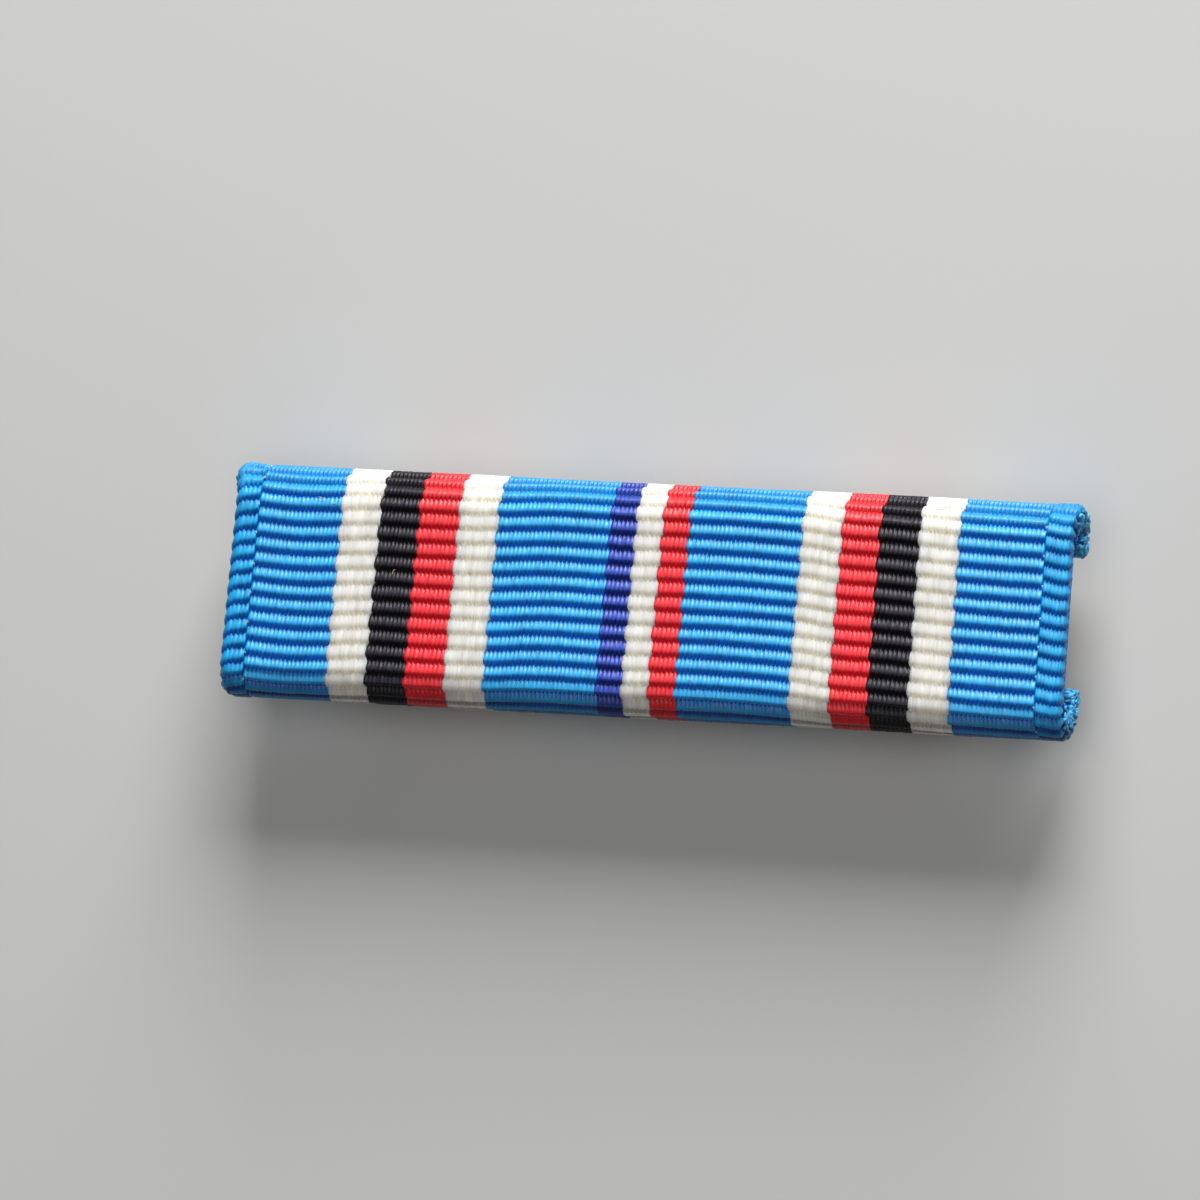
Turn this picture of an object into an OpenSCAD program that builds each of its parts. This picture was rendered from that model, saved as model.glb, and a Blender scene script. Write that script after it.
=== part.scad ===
// Ribbon bar: a ribbed ribbon wrapped round a thin metal bar, with a pin clasp behind.
// It lies on its clasp with its face up. +X runs to the right along the bar, +Y to its top edge and +Z up
// out of its face. The origin is on the ground, under the middle of the bar.

/* [Ribbon] */
// Width of the ribbon from selvedge to selvedge, which is the length of the bar
ribbon_w = 34.9; // [30:0.1:60]
// Height of the bar over its two rolled edges
bar_h = 9.4; // [8:0.1:20]
// Thickness of the cloth over its ribs
cloth_t = 1; // [0.7:0.05:1.5]
// Straight length of each tail on the back, between the rolled edge and the tail's rounded end
tail_flat = 0.1; // [0.1:0.05:1]

/* [Ribs] */
// Distance from the crest of a rib to the next crest
rib_pitch = 0.597; // [0.5:0.001:1]
// Depth of the groove between two ribs
groove_depth = 0.2; // [0.1:0.01:0.25]
// Width of the selvedge band at the left end
selvedge_left_w = 1.1; // [0.6:0.05:1.5]
// Width of the selvedge band at the right end
selvedge_right_w = 1.1; // [0.6:0.05:1.5]
// Radius of the ribbon's four corners, seen from its face
corner_r = 0.35; // [0.1:0.05:0.5]

/* [Back plate] */
// Thickness of the metal bar inside the ribbon
plate_t = 0.8; // [0.4:0.05:1]
// How far each end of the metal bar lies back from the ribbon's selvedge
plate_inset = 0.6; // [0.2:0.1:3]
// Gap between the metal bar and what lies on it
seat_gap = 0.05; // [0.02:0.01:0.15]

/* [Clasp] */
// Distance from the middle of the hinge block to the middle of the catch
clasp_span = 22; // [16:0.5:24]
// How far the clasp stands out behind the ribbon's back
clasp_drop = 2; // [1.8:0.1:4]
// Width of the clasp's base, hinge block and catch, across the bar
clasp_w = 3.6; // [2.5:0.1:3.8]
// Length of the hinge block and of the catch, along the bar
block_len = 3; // [2:0.1:4]
// Thickness of the clasp's base strip
base_t = 0.5; // [0.3:0.05:0.8]
// Diameter of the pin wire
wire_d = 0.8; // [0.6:0.05:1]
// Metal left under the pin wire in the catch
catch_wall = 0.4; // [0.3:0.05:0.6]
// Gap round the pin wire in the catch
wire_gap = 0.1; // [0.05:0.01:0.15]
// Length of the pin wire's point
point_len = 2; // [1:0.1:4]

/* [Hidden] */
$fn = 32;

// Stripes from left to right: the colour, and how many warp threads lie side by side in the stripe.
// The threads share the ribbon's width evenly.
COLOUR = 0;
THREADS = 1;
STRIPES = [
    ["dodgerblue", 26],
    ["ivory", 9],
    ["black", 10],
    ["crimson", 9],
    ["ivory", 10],
    ["dodgerblue", 27],
    ["navy", 6],
    ["ivory", 6],
    ["crimson", 6],
    ["dodgerblue", 27],
    ["ivory", 10],
    ["crimson", 9],
    ["black", 9],
    ["ivory", 10],
    ["dodgerblue", 27],
];
SELVEDGE_COLOUR = "deepskyblue";
// Stripes meet on whole steps of this length
WEAVE_STEP = 0.01;

// The wrap goes round a core line in the middle of the metal bar, seen from the end of the bar
inner_r = plate_t / 2 + seat_gap;
outer_r = inner_r + cloth_t;
core_reach = bar_h / 2 - outer_r;
tail_end_y = core_reach - tail_flat;
core_z = clasp_drop + outer_r;

// A rib is a round cord just under the surface, as wide as gives grooves of the chosen depth
rib_r = (pow(rib_pitch / 2, 2) + pow(groove_depth, 2)) / (2 * groove_depth);
ground_r = outer_r - groove_depth;
roll_length = PI * outer_r;
ribs_a_side = floor((core_reach + roll_length + tail_flat) / rib_pitch);

clasp_top_z = core_z - plate_t / 2 - seat_gap;
wire_z = catch_wall + wire_gap + wire_d / 2;

// Warp threads to the left of a stripe
function threads_before(i) = i == 0 ? 0 : threads_before(i - 1) + STRIPES[i - 1][THREADS];

// Distance from the ribbon's left end to the left edge of a stripe
function stripe_edge(i) =
    let (share = threads_before(i) / threads_before(len(STRIPES)))
    round(share * ribbon_w / WEAVE_STEP) * WEAVE_STEP;

// Place on the wrap at a distance along it from the middle of the face: [along the core, turn in degrees]
function wrap_place(run) =
    let (past = abs(run) - core_reach)
    past <= 0 ? [run, 0]
    : past <= roll_length ? [sign(run) * core_reach, sign(run) * past / outer_r * 180 / PI]
    : [sign(run) * (core_reach - past + roll_length), sign(run) * 180];

// Point at a distance from the core line, for a place on the wrap
function wrap_point(place, distance) =
    [place[0] + distance * sin(place[1]), distance * cos(place[1])];

// Outline of the wrap at a distance from its core line, with both ends round
module wrap_outline(distance) {
    square([2 * core_reach, 2 * distance], center = true);
    for (side = [-1, 1])
        translate([side * core_reach, 0])
            circle(r = distance);
}

// The cut end of a tail, rounded
module tail_end(side) {
    translate([side * tail_end_y, -inner_r - cloth_t / 2])
        circle(d = cloth_t);
}

// Section of the wrapped cloth, seen from the end of the bar: the ground and the ribs on it
module cloth_section(rib_shift) {
    difference() {
        union() {
            wrap_outline(ground_r);
            for (i = [-ribs_a_side:ribs_a_side])
                translate(wrap_point(wrap_place(i * rib_pitch + rib_shift), outer_r - rib_r))
                    circle(r = rib_r);
        }
        wrap_outline(inner_r);
        translate([0, -outer_r])
            square([2 * tail_end_y, 2 * outer_r], center = true);
    }
    for (side = [-1, 1])
        tail_end(side);
}

// A length of the cloth along the bar, between two distances from its left end
module cloth_length(from, to, rib_shift = 0) {
    translate([from - ribbon_w / 2, 0, core_z])
        rotate([90, 0, 90])
            linear_extrude(to - from)
                cloth_section(rib_shift);
}

// Plan of a selvedge band, with its two outer corners rounded
module selvedge_plan(band_w) {
    translate([corner_r, 0])
        for (side = [-1, 1])
            translate([0, side * (bar_h / 2 - corner_r)])
                circle(r = corner_r);
    translate([band_w / 2, 0])
        square([band_w, bar_h - 2 * corner_r], center = true);
    translate([(band_w + corner_r) / 2, 0])
        square([band_w - corner_r, bar_h], center = true);
}

module ribbon() {
    for (i = [0:len(STRIPES) - 1])
        color(STRIPES[i][COLOUR])
            cloth_length(
                max(stripe_edge(i), selvedge_left_w),
                min(stripe_edge(i + 1), ribbon_w - selvedge_right_w)
            );
    color(SELVEDGE_COLOUR) {
        intersection() {
            cloth_length(0, selvedge_left_w, rib_pitch / 2);
            translate([-ribbon_w / 2, 0, clasp_drop])
                linear_extrude(2 * outer_r)
                    selvedge_plan(selvedge_left_w);
        }
        intersection() {
            cloth_length(ribbon_w - selvedge_right_w, ribbon_w, rib_pitch / 2);
            translate([ribbon_w / 2, 0, clasp_drop])
                linear_extrude(2 * outer_r)
                    mirror([1, 0])
                        selvedge_plan(selvedge_right_w);
        }
    }
}

module back_plate() {
    plate_w = ribbon_w - 2 * plate_inset;
    color("darkgoldenrod")
        translate([-plate_w / 2, 0, core_z])
            rotate([90, 0, 90])
                linear_extrude(plate_w)
                    wrap_outline(plate_t / 2);
}

// A block of the clasp, which reaches from the ground to the base strip
module clasp_block(x) {
    translate([x, 0, clasp_top_z / 2])
        cube([block_len, clasp_w, clasp_top_z], center = true);
}

module pin_clasp() {
    hinge_x = -clasp_span / 2;
    catch_x = clasp_span / 2;
    slot_d = wire_d + 2 * wire_gap;
    wire_len = clasp_span + block_len / 2 - point_len;
    color("silver") {
        translate([0, 0, clasp_top_z - base_t / 2])
            cube([clasp_span, clasp_w, base_t], center = true);
        clasp_block(hinge_x);
        difference() {
            clasp_block(catch_x);
            translate([catch_x - block_len, 0, wire_z])
                rotate([0, 90, 0])
                    cylinder(d = slot_d, h = 2 * block_len);
            translate([catch_x, -clasp_w / 2, wire_z])
                cube([2 * block_len, clasp_w, slot_d], center = true);
        }
        translate([hinge_x, 0, wire_z])
            rotate([0, 90, 0])
                cylinder(d = wire_d, h = wire_len);
        translate([hinge_x + wire_len, 0, wire_z])
            rotate([0, 90, 0])
                cylinder(d1 = wire_d, d2 = wire_d / 4, h = point_len);
    }
}

ribbon();
back_plate();
pin_clasp();
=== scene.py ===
"""Dresses a ribbon bar: a rep-woven ribbon of fifteen stripes round a thin metal bar, with a pin clasp.

Sizes are in metres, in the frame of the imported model: +X runs along the bar, +Y to its top edge and +Z out
of its face. A run is a distance along the wrapped ribbon, measured over its ribs from the middle of the face,
and a depth is measured from the ribs' crests into the cloth.
"""

import logging
import math
from dataclasses import dataclass, field
from enum import Enum
from itertools import accumulate
from typing import Iterable, NamedTuple

import bpy
import numpy as np
from mathutils import Matrix, Vector

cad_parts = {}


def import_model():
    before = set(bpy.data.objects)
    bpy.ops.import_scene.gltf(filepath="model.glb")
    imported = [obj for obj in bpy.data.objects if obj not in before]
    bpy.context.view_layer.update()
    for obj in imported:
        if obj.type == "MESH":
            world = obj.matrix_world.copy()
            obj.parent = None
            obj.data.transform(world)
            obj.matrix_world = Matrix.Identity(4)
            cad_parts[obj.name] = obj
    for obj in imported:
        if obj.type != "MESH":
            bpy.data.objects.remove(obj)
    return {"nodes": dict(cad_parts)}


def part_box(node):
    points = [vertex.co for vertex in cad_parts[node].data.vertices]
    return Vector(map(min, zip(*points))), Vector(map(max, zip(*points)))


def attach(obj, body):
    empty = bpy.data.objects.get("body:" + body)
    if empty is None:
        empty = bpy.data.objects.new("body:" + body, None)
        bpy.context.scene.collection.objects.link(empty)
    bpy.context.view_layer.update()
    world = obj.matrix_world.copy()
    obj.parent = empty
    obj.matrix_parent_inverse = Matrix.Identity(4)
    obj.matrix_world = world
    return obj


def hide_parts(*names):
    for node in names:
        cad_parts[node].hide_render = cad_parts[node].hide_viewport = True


MM = 0.001
SEED = 27
LOG = logging.getLogger("ribbon_bar")

Colour = tuple[int, int, int]
Curve = tuple[tuple[float, float], ...]
Numbers = float | np.ndarray
Socket = bpy.types.NodeSocket


class Thread(Enum):
    """Kinds of thread in the ribbon: the warp of its stripes, its selvedges and what else shows."""

    BLUE = "blue"
    WHITE = "white"
    BLACK = "black"
    RED = "red"
    NAVY = "navy"
    SELVEDGE = "selvedge"
    WEFT = "weft"
    FIBRE = "fibre"


class Stripe(NamedTuple):
    """A stripe: its colour, how many warp threads lie side by side in it, and its width in mm."""

    colour: Thread
    threads: int
    width: float


# From the left end to the right end. The first and the last stripe also hold a selvedge band.
STRIPES = (
    Stripe(Thread.BLUE, 26, 4.54),
    Stripe(Thread.WHITE, 9, 1.64),
    Stripe(Thread.BLACK, 10, 1.63),
    Stripe(Thread.RED, 9, 1.66),
    Stripe(Thread.WHITE, 10, 1.64),
    Stripe(Thread.BLUE, 27, 4.69),
    Stripe(Thread.NAVY, 6, 1.06),
    Stripe(Thread.WHITE, 6, 1.11),
    Stripe(Thread.RED, 6, 1.10),
    Stripe(Thread.BLUE, 27, 4.68),
    Stripe(Thread.WHITE, 10, 1.65),
    Stripe(Thread.RED, 9, 1.55),
    Stripe(Thread.BLACK, 9, 1.66),
    Stripe(Thread.WHITE, 10, 1.65),
    Stripe(Thread.BLUE, 27, 4.66),
)


class Side(Enum):
    """The ribbon's two selvedges, with the sign of their x."""

    LEFT = -1
    RIGHT = 1


@dataclass(frozen=True)
class Selvedge:
    """A selvedge of the ribbon, with the band of threads beside it."""

    side: Side
    # The band's threads and its width in mm
    threads: int
    width: float
    # How far the rounded edge reaches along the bar, and how far the ground of the cloth lies back from it
    edge_r: float
    inset: float
    # Share of the ribs' depth that the band has, at its inner side and at the edge
    relief: tuple[float, float]
    # How far the selvedge swells out and up where it turns over the top edge
    swell_out: float
    swell_up: float
    # How far the band's ribs lie above the body's at the same height, by distance from its left side, in mm
    rise: Curve

    @property
    def sign(self) -> int:
        """The sign of the selvedge's x."""
        return self.side.value

    @property
    def name(self) -> str:
        """The selvedge's side, as the pieces' names have it."""
        return self.side.name.lower()


LEFT = Selvedge(
    Side.LEFT, threads=6, width=1.1, edge_r=0.36 * MM, inset=0.1 * MM, relief=(1.0, 0.4),
    swell_out=0.17 * MM, swell_up=0.1 * MM,
    rise=((0.0, -0.42), (0.1, -0.30), (0.25, -0.19), (0.9, -0.04), (1.1, 0.01)),
)
RIGHT = Selvedge(
    Side.RIGHT, threads=7, width=1.1, edge_r=0.15 * MM, inset=0.2 * MM, relief=(0.75, 0.75),
    swell_out=0.09 * MM, swell_up=0.0,
    rise=((0.0, -1.10), (0.35, -1.17), (0.7, -1.23), (0.95, -1.23), (1.22, -1.18)),
)
SELVEDGES = (LEFT, RIGHT)


def linear(colour: Colour) -> tuple[float, float, float, float]:
    """Turns an sRGB colour of 0 to 255 into the linear colour that a shader takes.

    Args:
        colour: Red, green and blue, from 0 to 255.

    Returns:
        Linear red, green and blue, and an alpha of 1.
    """
    parts = [c / 255 for c in colour]
    red, green, blue = (p / 12.92 if p <= 0.04045 else ((p + 0.055) / 1.055) ** 2.4 for p in parts)
    return red, green, blue, 1.0


def smooth_step(value: Numbers) -> Numbers:
    """Eases 0 to 1 with a level start and end, and holds outside."""
    held = np.clip(value, 0.0, 1.0)
    return held * held * (3 - 2 * held)


def smooth_curve(x: np.ndarray, points: Curve) -> np.ndarray:
    """Runs a smooth curve through points, level beyond the first and the last one.

    Args:
        x: Where the curve is read.
        points: Places and heights of the curve, from left to right.

    Returns:
        The curve's height at each x.
    """
    places, heights = (np.array(column, float) for column in zip(*points))
    slopes = np.gradient(heights, places)
    part = np.clip(np.searchsorted(places, x) - 1, 0, len(places) - 2)
    width = places[part + 1] - places[part]
    s = np.clip((x - places[part]) / width, 0, 1)
    rise = heights[part] * (1 + 2 * s) * (1 - s) ** 2 + heights[part + 1] * s * s * (3 - 2 * s)
    return rise + width * (slopes[part] * s * (1 - s) ** 2 + slopes[part + 1] * s * s * (s - 1))


def link(thing: bpy.types.Object) -> bpy.types.Object:
    """Puts an object in the scene."""
    bpy.context.scene.collection.objects.link(thing)
    return thing


def woven_piece(name: str, points: Iterable[np.ndarray], faces: list[list[int]], corners: list[float],
                smooth: int, finish: bpy.types.Material) -> bpy.types.Object:
    """Makes a piece with a map named weave.

    Args:
        name: The piece's name.
        points: Its points.
        faces: Its faces, as numbers of points.
        corners: The map's places for the corners of the first faces. The others share one plain place.
        smooth: How many of the first faces are shaded smoothly.
        finish: Its material.

    Returns:
        The piece.
    """
    mesh = bpy.data.meshes.new(name)
    mesh.from_pydata([tuple(p) for p in points], [], faces)
    plain = [0.5] * (2 * len(mesh.loops) - len(corners))
    mesh.uv_layers.new(name="weave").data.foreach_set("uv", corners + plain)
    mesh.polygons.foreach_set("use_smooth", [i < smooth for i in range(len(faces))])
    mesh.materials.append(finish)
    mesh.update()
    return link(bpy.data.objects.new(name, mesh))


class ShaderGraph:
    """A material and short calls that add nodes to it. A value is a plain one or a socket."""

    def __init__(self, name: str) -> None:
        """Starts a material with a Principled shader.

        Args:
            name: The material's name.
        """
        self.material = bpy.data.materials.new(name)
        self.material.use_nodes = True
        self.tree = self.material.node_tree
        self.shader = self.tree.nodes["Principled BSDF"]

    def node(self, kind: str, **settings: object) -> bpy.types.Node:
        """Adds a node and sets its properties.

        Args:
            kind: The node's type.
            **settings: Properties of the node and their values.

        Returns:
            The new node.
        """
        made = self.tree.nodes.new(kind)
        for key, value in settings.items():
            setattr(made, key, value)
        return made

    def feed(self, socket: Socket, value: object) -> None:
        """Links a socket to an output, or sets it to a constant.

        Args:
            socket: The input socket.
            value: An output socket or a plain value.
        """
        if isinstance(value, Socket):
            self.tree.links.new(value, socket)
        else:
            socket.default_value = value

    def feed_named(self, node: bpy.types.Node, values: dict[str, object]) -> None:
        """Feeds a node's inputs by their names."""
        for name, value in values.items():
            self.feed(node.inputs[name], value)

    def result(self, kind: str, *values: object, **settings: object) -> Socket:
        """Adds a node, feeds its first inputs in their order and gives its first output.

        Args:
            kind: The node's type.
            *values: Values of its first inputs.
            **settings: Properties of the node and their values.

        Returns:
            The first output's socket.
        """
        made = self.node(kind, **settings)
        for socket, value in zip(made.inputs, values):
            self.feed(socket, value)
        return made.outputs[0]

    def named(self, kind: str, **values: object) -> Socket:
        """Adds a node, feeds its inputs by their names and gives its first output.

        Args:
            kind: The node's type.
            **values: Values of its inputs.

        Returns:
            The first output's socket.
        """
        made = self.node(kind)
        self.feed_named(made, values)
        return made.outputs[0]

    def math(self, operation: str, *values: object) -> Socket:
        """Works out a number with one of the Math node's operations."""
        return self.result("ShaderNodeMath", *values, operation=operation)

    def times(self, a: object, b: object) -> Socket:
        """Multiplies two numbers."""
        return self.math("MULTIPLY", a, b)

    def plus(self, a: object, b: object) -> Socket:
        """Adds two numbers."""
        return self.math("ADD", a, b)

    def minus(self, a: object, b: object) -> Socket:
        """Takes the second number from the first."""
        return self.math("SUBTRACT", a, b)

    def most(self, a: object, b: object) -> Socket:
        """Gives the higher one of two numbers."""
        return self.math("MAXIMUM", a, b)

    def off_middle(self, value: object) -> Socket:
        """Gives how far a number lies from the middle between two whole ones."""
        return self.math("ABSOLUTE", self.minus(self.math("FRACT", value), 0.5))

    def span(self, value: object, low: float, high: float, to_low: float = 0.0, to_high: float = 1.0
             ) -> Socket:
        """Maps the range from low to high smoothly to the range from to_low to to_high."""
        ends = (value, low, high, to_low, to_high)
        return self.result("ShaderNodeMapRange", *ends, interpolation_type="SMOOTHSTEP")

    def outside(self, value: object, below: tuple[float, float], above: tuple[float, float]) -> Socket:
        """Rises smoothly from 0 to 1 down through one range and up through another."""
        return self.most(self.span(value, *below, 1.0, 0.0), self.span(value, *above))

    def mix(self, factor: object, a: object, b: object, blend: str = "MIX") -> Socket:
        """Mixes two colours.

        Args:
            factor: Share of the second colour.
            a: First colour.
            b: Second colour.
            blend: The Mix node's blend type.

        Returns:
            The result's socket.
        """
        # The node also mixes numbers and vectors, so the colours' sockets come later
        first, second, result = 6, 7, 2
        made = self.node("ShaderNodeMix", data_type="RGBA", blend_type=blend)
        self.feed(made.inputs[0], factor)
        self.feed(made.inputs[first], a)
        self.feed(made.inputs[second], b)
        return made.outputs[result]

    def lit(self, colour: object, light: object) -> Socket:
        """Multiplies a colour by a brightness."""
        return self.mix(1.0, colour, self.vector(light, light, light), "MULTIPLY")

    def vector(self, x: object, y: object, z: object) -> Socket:
        """Puts three numbers together as a vector."""
        return self.result("ShaderNodeCombineXYZ", x, y, z)

    def parts(self, vector: object) -> Iterable[Socket]:
        """Takes a vector apart into its three numbers."""
        return self.result("ShaderNodeSeparateXYZ", vector).node.outputs

    def chance(self, place: object) -> Socket:
        """Reads one random number for each whole step of a vector."""
        return self.result("ShaderNodeTexWhiteNoise", place, noise_dimensions="3D")

    def noise(self, place: object, scale: float, layers: tuple[float, float]) -> Socket:
        """Reads a noise texture at a place, with a number of finer layers and their strength."""
        detail, roughness = layers
        return self.named("ShaderNodeTexNoise", Vector=place, Scale=scale, Detail=detail, Roughness=roughness)

    def bump(self, height: object, metres: float, share: float) -> Socket:
        """Bends the shading by a share of a height, where a height of 1 is that many metres high."""
        return self.named("ShaderNodeBump", Height=height, Distance=metres, Strength=share)

    def finished(self, values: dict[str, object]) -> bpy.types.Material:
        """Feeds the shader's inputs by their names and gives the material."""
        self.feed_named(self.shader, values)
        return self.material


@dataclass(frozen=True)
class Grain:
    """A noise in the yarn: how often it changes in a thread's width and in a rib, and its finer layers."""

    across: float
    along: float
    layers: tuple[float, float]

    def read(self, g: ShaderGraph, across: object, along: object, own: object) -> Socket:
        """Reads the noise at a place on the map named weave, with a number of the thread's own."""
        place = g.vector(g.times(across, self.across), g.times(along, self.along), own)
        return g.noise(place, 1.0, self.layers)


FILAMENTS = Grain(across=3.4, along=0.9, layers=(3.0, 0.65))
FINE_FILAMENTS = Grain(across=14.0, along=2.0, layers=(2.0, 0.6))
CLOUDS = Grain(across=0.13, along=0.31, layers=(3.0, 0.6))
# The number that each thread's random draw on each rib is made from, with the thread's and the rib's number
DRAW = 0.37
# The part of a noise's values that is put to use
NOISE_RANGE = (0.3, 0.7)
STREAK_RANGE = (0.3, 0.72)


@dataclass(frozen=True)
class YarnFinish:
    """Silky yarn of many fine filaments, in one colour, with painted shade in its grooves and creases. The
    map named weave tells it where a thread lies.
    """

    name: str
    # The colour of the lit crests, and the deep colour that is painted into the grooves and creases as their
    # shade
    lit: Colour
    deep: Colour
    sheen_tint: Colour
    sheen: float = 0.03
    sheen_roughness: float = 0.35
    gloss: float = 0.75
    # Roughness in the middle, and how much rougher and smoother the filaments make it
    roughness: float = 0.47
    rougher: float = 0.08
    smoother: float = 0.06
    # How much darker single threads and filaments are, and the share of that by which others are brighter
    tone: float = 0.08
    tone_up: float = 0.6
    streaks: float = 0.1
    streaks_up: float = 0.7
    clouds: float = 0.05
    # Painted shade: the share of the colour that is taken off at the lower rolled edge, on the ribs and
    # between them
    shade: tuple[float, float] = (0.42, 0.93)
    # Share of the light that travels through the filaments, and how far each colour of it goes, in mm
    depth: float = 0.0
    reach: tuple[float, float, float] = (0.1, 0.1, 0.1)
    # Height of the filaments, the share of it that bends the shading, and the coarse and the fine ones' parts
    bump: float = 0.014 * MM
    bump_strength: float = 0.5
    bump_parts: tuple[float, float] = (0.7, 0.3)
    # Painted groove shade: where the deep colour fades out above a rib's lower valley and comes back below
    # its upper one, in ribs
    groove_below: tuple[float, float] = (0.02, 0.52)
    groove_above: tuple[float, float] = (0.86, 0.98)
    # The same on the lower rolled edge, where the painted shade leaves only a narrow streak on each crest lit
    streak_below: tuple[float, float] = (0.28, 0.42)
    streak_above: tuple[float, float] = (0.5, 0.74)
    # Painted crease shade: where the crease beside a thread begins, from its middle, and how it grows from
    # the crest to the valleys
    crease: tuple[float, float] = (0.34, 0.5)
    crease_ends: tuple[float, float] = (0.15, 0.45)
    crease_share: tuple[float, float] = (0.03, 0.4)
    # The y at which the painted shade of the lower rolled edge is darkest, and at which it begins
    shade_y: tuple[float, float] = (-4.66 * MM, -3.6 * MM)
    # On the upper rolled edge the painted groove shade is cut back and all colour is painted darker: the y at
    # which this begins and at which it is full, the share of the groove shade taken off, and the share of
    # colour taken off
    painted_top_roll_y: tuple[float, float] = (3.3 * MM, 4.2 * MM)
    top_roll_shade_cut: float = 0.75
    top_roll_painted_shade: float = 0.16

    def painted_shade(self, g: ShaderGraph, across: Socket, along: Socket, shaded: Socket, painted_top_roll: Socket) -> Socket:
        """Works out the share of the deep colour, painted shade in the grooves and in the creases between
        threads.

        Args:
            g: The material's graph.
            across: Place across the threads.
            along: Place along them, in ribs.
            shaded: Share of the lower rolled edge, which gets painted shade.
            painted_top_roll: Share of the upper rolled edge.

        Returns:
            The deep colour's share.
        """
        part = g.math("FRACT", along)
        groove = g.outside(part, self.groove_below, self.groove_above)
        growth = g.span(g.off_middle(along), *self.crease_ends, *self.crease_share)
        # Painted shade in the grooves and in the creases between threads
        painted_shade = g.most(groove, g.times(g.span(g.off_middle(across), *self.crease), growth))
        # Less painted groove shade on the upper rolled edge
        painted_shade = g.times(painted_shade, g.span(painted_top_roll, 0.0, 1.0, 1.0, 1.0 - self.top_roll_shade_cut))
        # Painted shade over the lower rolled edge, which leaves a narrow lit streak on each crest
        return g.most(painted_shade, g.times(shaded, g.outside(part, self.streak_below, self.streak_above)))

    def make(self) -> bpy.types.Material:
        """Makes the material.

        Returns:
            The material, which reads the map named weave and object coordinates.
        """
        g = ShaderGraph(self.name)
        across, along, _ = g.parts(g.node("ShaderNodeUVMap", uv_map="weave").outputs[0])
        _, y, _ = g.parts(g.node("ShaderNodeTexCoord").outputs["Object"])
        own = g.chance(g.vector(g.math("FLOOR", across), g.math("FLOOR", along), DRAW))
        filaments = FILAMENTS.read(g, across, along, own)
        fine = FINE_FILAMENTS.read(g, across, along, own)
        cloud = CLOUDS.read(g, across, along, 0.0)
        # Painted shade over the lower rolled edge, darkest at its bottom
        shaded = g.span(y, *self.shade_y, 1.0, 0.0)
        # The upper rolled edge, which gets less painted groove shade and is painted a little darker
        painted_top_roll = g.span(y, *self.painted_top_roll_y)
        painted_shade = self.painted_shade(g, across, along, shaded, painted_top_roll)
        # Painted dimming of the colour on the lower rolled edge, stronger between the ribs
        painted_dimming = g.times(shaded, g.span(painted_shade, 0.0, 1.0, *self.shade))
        # Painted dimming over the upper rolled edge too
        painted_dimming = g.most(painted_dimming, g.times(painted_top_roll, self.top_roll_painted_shade))
        tone = g.span(own, 0.0, 1.0, 1.0 - self.tone, 1.0 + self.tone * self.tone_up)
        light = g.plus(tone, g.span(filaments, *STREAK_RANGE, -self.streaks, self.streaks * self.streaks_up))
        light = g.plus(light, g.span(cloud, *NOISE_RANGE, -self.clouds, self.clouds))
        # Random tone of threads, filaments and clouds, darkened by the painted dimming of the rolled edges
        light = g.times(light, g.minus(1.0, painted_dimming))
        rough = g.span(filaments, *NOISE_RANGE, self.roughness + self.rougher, self.roughness - self.smoother)
        coarse_part, fine_part = self.bump_parts
        height = g.plus(g.times(filaments, coarse_part), g.times(fine, fine_part))
        # The base colour mixes the lit colour with the deep one, painted shade, and takes the painted dimming
        return g.finished({
            "Base Color": g.lit(g.mix(painted_shade, linear(self.lit), linear(self.deep)), light),
            "Roughness": rough,
            "Specular IOR Level": self.gloss,
            "Subsurface Weight": self.depth,
            "Subsurface Radius": self.reach,
            "Subsurface Scale": MM,
            "Sheen Weight": self.sheen,
            "Sheen Roughness": self.sheen_roughness,
            "Sheen Tint": linear(self.sheen_tint),
            "Normal": g.bump(height, self.bump, self.bump_strength),
        })


# Each yarn's lit colour, its deep colour of painted groove shade (lighter in the white and the red, as
# painted bounce light) and its sheen tint
YARNS = {
    Thread.BLUE: YarnFinish("blue_yarn", (0, 152, 214), (0, 86, 242), (150, 215, 255)),
    Thread.WHITE: YarnFinish(
        "white_yarn", (225, 222, 215), (252, 246, 230), (255, 255, 250),
        gloss=0.2, shade=(0.06, 0.7), depth=1.0, reach=(0.6, 0.56, 0.46),
    ),
    Thread.BLACK: YarnFinish(
        "black_yarn", (26, 22, 33), (13, 12, 18), (120, 115, 135),
        gloss=0.36, tone=0.2, shade=(0.5, 0.95),
    ),
    Thread.RED: YarnFinish("red_yarn", (224, 12, 33), (255, 0, 28), (255, 160, 160), shade=(0.2, 0.75)),
    Thread.NAVY: YarnFinish("navy_yarn", (18, 60, 170), (5, 20, 124), (130, 150, 235)),
    Thread.SELVEDGE: YarnFinish(
        "selvedge_yarn", (0, 150, 208), (0, 88, 228), (130, 200, 250),
        gloss=0.5, tone=0.14, streaks=0.16,
    ),
    # The weft's lit colour is lighter than the blue yarn's, painted light on the loops at the selvedges and
    # the cut ends
    Thread.WEFT: YarnFinish(
        "weft_yarn", (80, 186, 238), (0, 88, 206), (130, 200, 250),
        gloss=0.35, roughness=0.5, tone=0.5, streaks=0.3,
    ),
    Thread.FIBRE: YarnFinish("fibre", (222, 188, 128), (160, 120, 70), (255, 240, 210), tone=0.3),
}


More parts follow.
